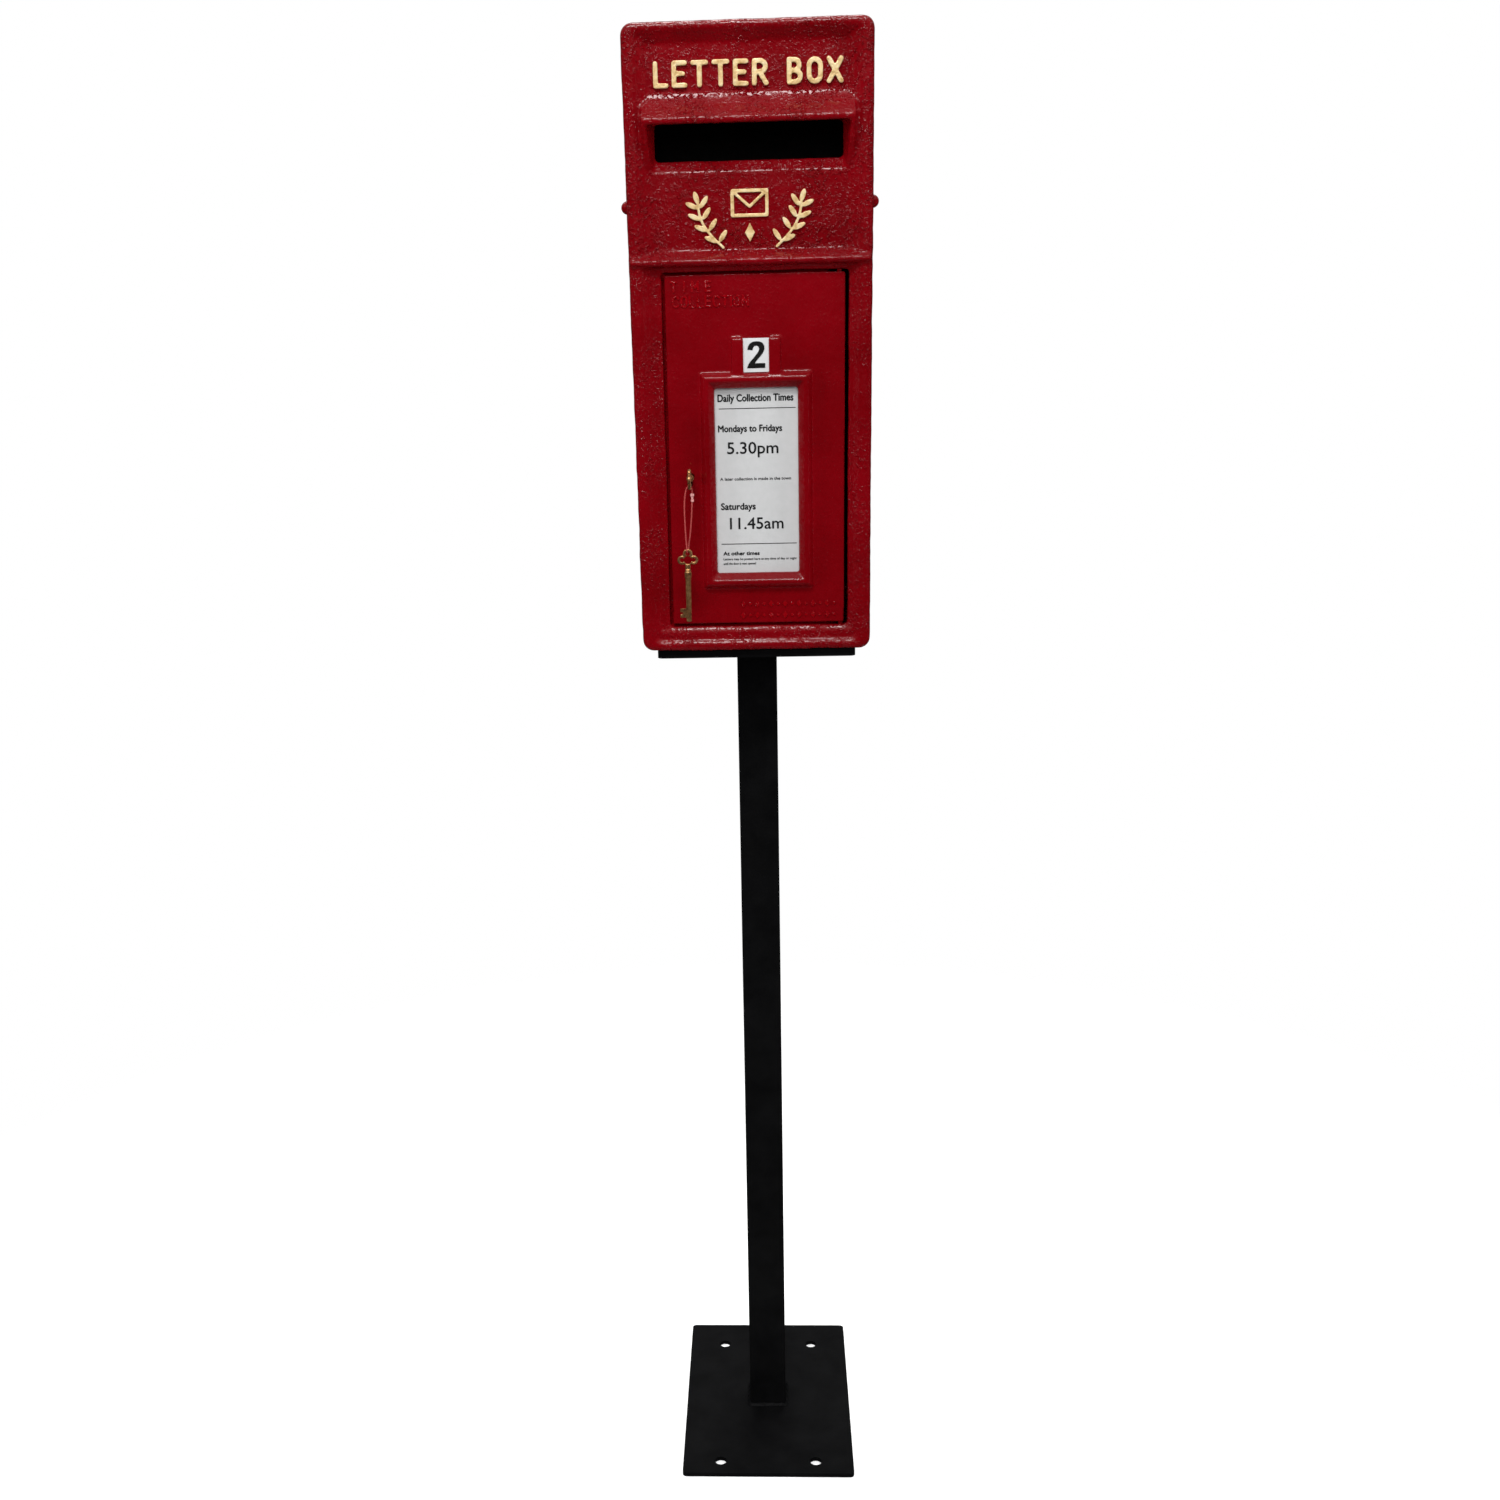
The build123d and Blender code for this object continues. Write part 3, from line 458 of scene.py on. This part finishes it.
def make_floor():
    mesh = bpy.data.meshes.new("floor")
    verts = [(0, 0, 0)]
    for i in range(FLOOR_SIDES):
        turn = 2 * math.pi * i / FLOOR_SIDES
        verts.append((FLOOR_R * math.cos(turn), FLOOR_R * math.sin(turn), 0))
    faces = [(0, 1 + i, 1 + (i + 1) % FLOOR_SIDES) for i in range(FLOOR_SIDES)]
    mesh.from_pydata(verts, [], faces)
    ob = link(bpy.data.objects.new("floor", mesh))
    ob.location.z = FLOOR_Z
    mat, nt, bsdf = new_mat("floor_pale")
    vec = coords(nt)
    tone = noise_tex(nt, vec, 3, 2)
    nt.links.new(ramp(nt, tone, [(0.3, (0.88, 0.88, 0.88)), (0.7, (0.91, 0.91, 0.91))]),
                 bsdf.inputs["Base Color"])
    bsdf.inputs["Roughness"].default_value = 0.9
    bsdf.inputs["Emission Color"].default_value = (1, 1, 1, 1)
    bsdf.inputs["Emission Strength"].default_value = 0.30
    bsdf.inputs["Specular IOR Level"].default_value = 0.1
    length = node(nt, "ShaderNodeVectorMath", operation="LENGTH")
    nt.links.new(vec, length.inputs[0])
    fade = remap(nt, length.outputs["Value"], FADE_FROM, FADE_TO, 0.0, 1.0)
    mix = node(nt, "ShaderNodeMixShader")
    clear = node(nt, "ShaderNodeBsdfTransparent")
    nt.links.new(fade, mix.inputs[0])
    nt.links.new(bsdf.outputs[0], mix.inputs[1])
    nt.links.new(clear.outputs[0], mix.inputs[2])
    nt.links.new(mix.outputs[0], nt.nodes["Material Output"].inputs["Surface"])
    mesh.materials.append(mat)
    ob.visible_glossy = False


LIGHTS = [
    # name, place, aim, width, height in metres, watts, whether the paint mirrors it
    ("key_top", (-0.3, -1.75, 3.4), (0, 0, 1.2), 1.3, 0.5, 46, True),
    ("top_strip", (-0.2, 0.55, 3.5), (0, -0.1, 1.2), 1.2, 0.30, 34, True),
    ("fill_front", (0.2, -3.6, 2.6), (0, 0, 1.0), 2.4, 1.6, 50, False),
    ("side_left", (-2.6, -0.9, 1.4), (0, 0, 1.1), 0.7, 2.2, 30, False),
    ("side_right", (2.6, -0.9, 1.4), (0, 0, 1.1), 0.7, 2.2, 30, False),
    ("back_fill", (0.4, 3.0, 2.6), (0, 0, 1.0), 2.2, 1.6, 90, False),
]


def area(name, loc, target, size_x, size_y, power, mirrored):
    li = bpy.data.lights.new(name, "AREA")
    li.shape = "RECTANGLE"
    li.size = size_x
    li.size_y = size_y
    li.energy = power
    ob = link(bpy.data.objects.new(name, li))
    ob.location = loc
    d = Vector(target) - Vector(loc)
    ob.rotation_euler = d.to_track_quat("-Z", "Y").to_euler()
    ob.visible_glossy = mirrored


def make_world():
    """The camera sees white; every other ray sees a dim sky that brightens upward."""
    world = bpy.data.worlds.new("studio")
    bpy.context.scene.world = world
    world.use_nodes = True
    nt = world.node_tree
    bg = nt.nodes["Background"]
    bg.inputs["Color"].default_value = (1.0, 1.0, 1.0, 1)
    bg.inputs["Strength"].default_value = 1.0
    dim = nt.nodes.new("ShaderNodeBackground")
    vec = nt.nodes.new("ShaderNodeTexCoord").outputs["Generated"]
    sep = nt.nodes.new("ShaderNodeSeparateXYZ")
    nt.links.new(vec, sep.inputs[0])
    nt.links.new(remap(nt, sep.outputs["Z"], 0.15, 0.9, 0.02, 0.55), dim.inputs["Strength"])
    path = nt.nodes.new("ShaderNodeLightPath")
    mix = nt.nodes.new("ShaderNodeMixShader")
    nt.links.new(path.outputs["Is Camera Ray"], mix.inputs[0])
    nt.links.new(dim.outputs[0], mix.inputs[1])
    nt.links.new(bg.outputs[0], mix.inputs[2])
    nt.links.new(mix.outputs[0], nt.nodes["World Output"].inputs["Surface"])


IMAGE_PX = 1500.0                             # side of the square frame that f and cx are measured in
SENSOR_MM = 36.0
CAM = dict(loc=(0.0141625, -1.8749454, 1.3335681), pitch=0.2501, yaw=-0.0477, roll=0.0249,
           f=1681.035, cx=693.035)


def make_camera():
    cp, sp = math.cos(CAM["pitch"]), math.sin(CAM["pitch"])
    cy, sy = math.cos(CAM["yaw"]), math.sin(CAM["yaw"])
    cr, sr = math.cos(CAM["roll"]), math.sin(CAM["roll"])
    f = Vector((sy * cp, cy * cp, -sp))
    r0 = Vector((cy, -sy, 0))
    d0 = f.cross(r0)
    r = cr * r0 + sr * d0
    d = -sr * r0 + cr * d0
    rot = Matrix((r, -d, -f)).transposed()
    cam = bpy.data.cameras.new("camera")
    cam.sensor_width = SENSOR_MM
    cam.lens = CAM["f"] / IMAGE_PX * SENSOR_MM
    cam.shift_x = (IMAGE_PX / 2 - CAM["cx"]) / IMAGE_PX
    cam.clip_start = 0.05
    cam.clip_end = 50
    ob = link(bpy.data.objects.new("camera", cam))
    ob.matrix_world = Matrix.Translation(CAM["loc"]) @ rot.to_4x4()
    bpy.context.scene.camera = ob


make_floor()
make_world()
for light in LIGHTS:
    area(*light)
make_camera()
bpy.context.scene.view_settings.view_transform = "Standard"
bpy.context.scene.view_settings.look = "None"
